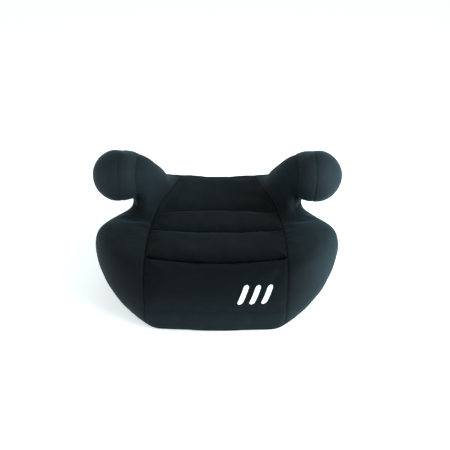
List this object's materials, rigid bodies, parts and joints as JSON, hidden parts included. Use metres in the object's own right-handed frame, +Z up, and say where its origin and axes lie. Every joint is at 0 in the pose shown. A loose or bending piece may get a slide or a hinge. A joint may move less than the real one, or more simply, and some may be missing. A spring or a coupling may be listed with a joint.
{
  "type": "backless car booster seat",
  "caption": "Low backless booster seat with a fabric-covered foam body, sewn seat channels and two hooked armrests over open belt slots.",
  "frame": {"origin": "on the floor, under the middle of the seat's bounding box", "axes": "+Z up, -Y towards the open front edge, +X to the right seen from behind the seat"},
  "size_m": [0.4186, 0.38, 0.1986],
  "materials": {
    "cover_fabric": "smooth black stretch knit",
    "seat_fabric": "smooth black stretch knit, quilted in channels",
    "elastic": "ribbed knitted elastic",
    "pin_plastic": "fine matte",
    "tray_plastic": "fine spark texture",
    "core_foam": "moulded bead foam",
    "pad_foam": "open-cell foam"
  },
  "bodies": {
    "root": {"cover_hem": "cover_fabric", "cover_seat_rear": "seat_fabric", "cover_channel_rear": "seat_fabric", "cover_channel_front": "seat_fabric", "cover_seat_front": "seat_fabric", "cover_front_band": "cover_fabric", "cover_side_left": "cover_fabric", "cover_side_right": "cover_fabric", "cover_back": "cover_fabric", "arm_cover_inner_right": "cover_fabric", "arm_cover_outer_right": "cover_fabric", "arm_cover_inner_left": "cover_fabric", "arm_cover_outer_left": "cover_fabric", "hem_elastic": "elastic", "elastic_loop_right_front": "elastic", "elastic_loop_left_front": "elastic", "elastic_loop_right_middle": "elastic", "elastic_loop_left_middle": "elastic", "elastic_loop_right_rear": "elastic", "elastic_loop_left_rear": "elastic", "pin_right_front": "pin_plastic", "pin_left_front": "pin_plastic", "pin_right_middle": "pin_plastic", "pin_left_middle": "pin_plastic", "pin_right_rear": "pin_plastic", "pin_left_rear": "pin_plastic", "seat_pad": "pad_foam", "foam_core": "core_foam", "base_tray": "tray_plastic"}
  },
  "joints": []
}
